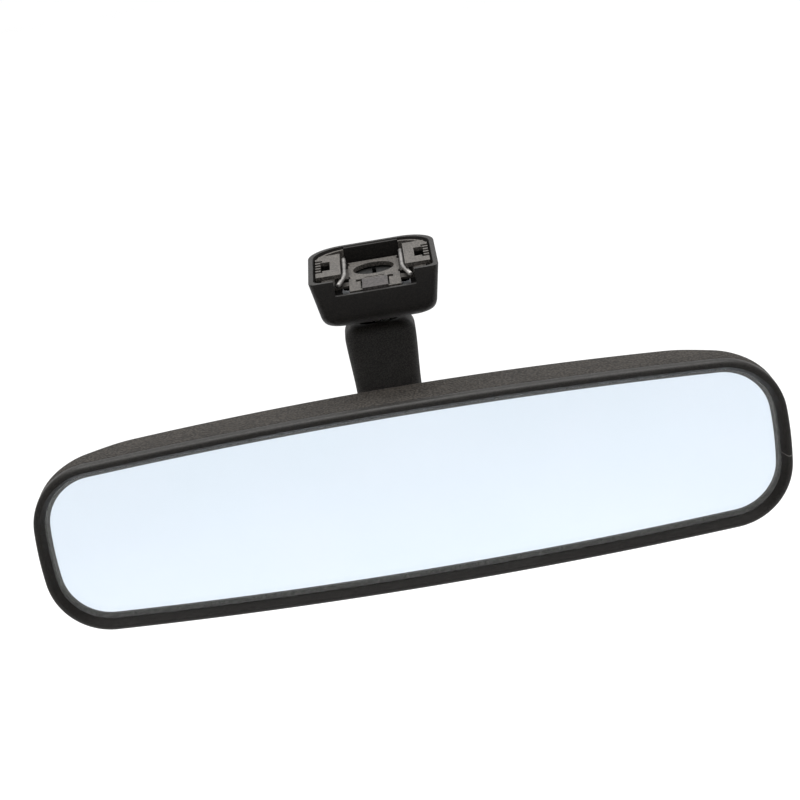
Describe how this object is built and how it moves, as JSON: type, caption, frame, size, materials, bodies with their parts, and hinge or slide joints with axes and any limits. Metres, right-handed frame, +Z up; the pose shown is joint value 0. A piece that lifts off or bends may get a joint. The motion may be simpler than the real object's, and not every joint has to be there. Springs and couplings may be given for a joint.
{
  "type": "interior rearview mirror",
  "caption": "Wide rounded mirror head in a domed black housing with a trim ring, on a curved arm with a ball joint at each end, under a clip-on windshield base with an open locating pocket.",
  "frame": {"origin": "centre of the locating hole, on the upper face of the base's inner floor", "axes": "+Z up out of the base towards the windshield, the mirror glass faces -Y, X along the mirror"},
  "size_m": [0.252, 0.0745, 0.1021],
  "materials": {
    "grained_black": "fine pebble grain, moulded in",
    "trim_black": "smooth satin",
    "insert_grey": "dull moulded, glass-filled",
    "mirror_glass": "clear polished, faint green edge",
    "silvering": "silvered",
    "pad": "foam adhesive sheet",
    "acetal": "natural, slightly waxy",
    "dark_acetal": "black, slightly waxy",
    "steel": "zinc-plated",
    "black_steel": "black zinc",
    "phosphated_steel": "black phosphate, dull",
    "die_cast": "as cast"
  },
  "bodies": {
    "base": {"base_cover": "grained_black", "base_insert": "insert_grey", "latch_tongue": "insert_grey", "retaining_wire": "steel", "spring_washer": "phosphated_steel", "base_socket": "die_cast", "base_socket_screws": "phosphated_steel"},
    "upper_cup": {"base_pressure_cup": "dark_acetal"},
    "upper_liner": {"base_ball_liner": "acetal"},
    "arm": {"upper_ball_stud": "steel", "arm_core": "die_cast", "arm_front_cover": "grained_black", "arm_rear_cover": "grained_black", "arm_cover_screws": "black_steel", "lower_ball_stud": "steel", "stud_nut": "steel"},
    "lower_liner": {"head_ball_liner": "acetal"},
    "lower_cup": {"head_pressure_cup": "acetal"},
    "head": {"head_socket": "die_cast", "head_socket_screws": "steel", "pressure_spring": "steel", "spring_cap": "die_cast", "housing_collar": "trim_black", "head_housing": "grained_black", "bezel_trim": "trim_black", "mirror_glass": "mirror_glass", "silver_coating": "silvering", "backing_pad": "pad", "glass_carrier": "insert_grey", "carrier_screws": "steel"}
  },
  "joints": [
    {"name": "arm_yaw", "type": "hinge", "parent": "base", "child": "upper_cup", "pos_m": [0, 0, -0.0115], "axis": [0, 0, 1], "range_deg": [-15, 15]},
    {"name": "arm_pitch", "type": "hinge", "parent": "upper_cup", "child": "upper_liner", "pos_m": [0, 0, -0.0115], "axis": [1, 0, 0], "range_deg": [-12, 12]},
    {"name": "arm_roll", "type": "hinge", "parent": "upper_liner", "child": "arm", "pos_m": [0, 0, -0.0115], "axis": [0, 1, 0], "range_deg": [-8, 8]},
    {"name": "head_yaw", "type": "hinge", "parent": "arm", "child": "lower_liner", "pos_m": [0, -0.0343, -0.064], "axis": [0, 0, 1], "range_deg": [-15, 15]},
    {"name": "head_pitch", "type": "hinge", "parent": "lower_liner", "child": "lower_cup", "pos_m": [0, -0.0343, -0.064], "axis": [1, 0, 0], "range_deg": [-15, 15]},
    {"name": "head_roll", "type": "hinge", "parent": "lower_cup", "child": "head", "pos_m": [0, -0.0343, -0.064], "axis": [0, 1, 0], "range_deg": [-8, 8]}
  ]
}
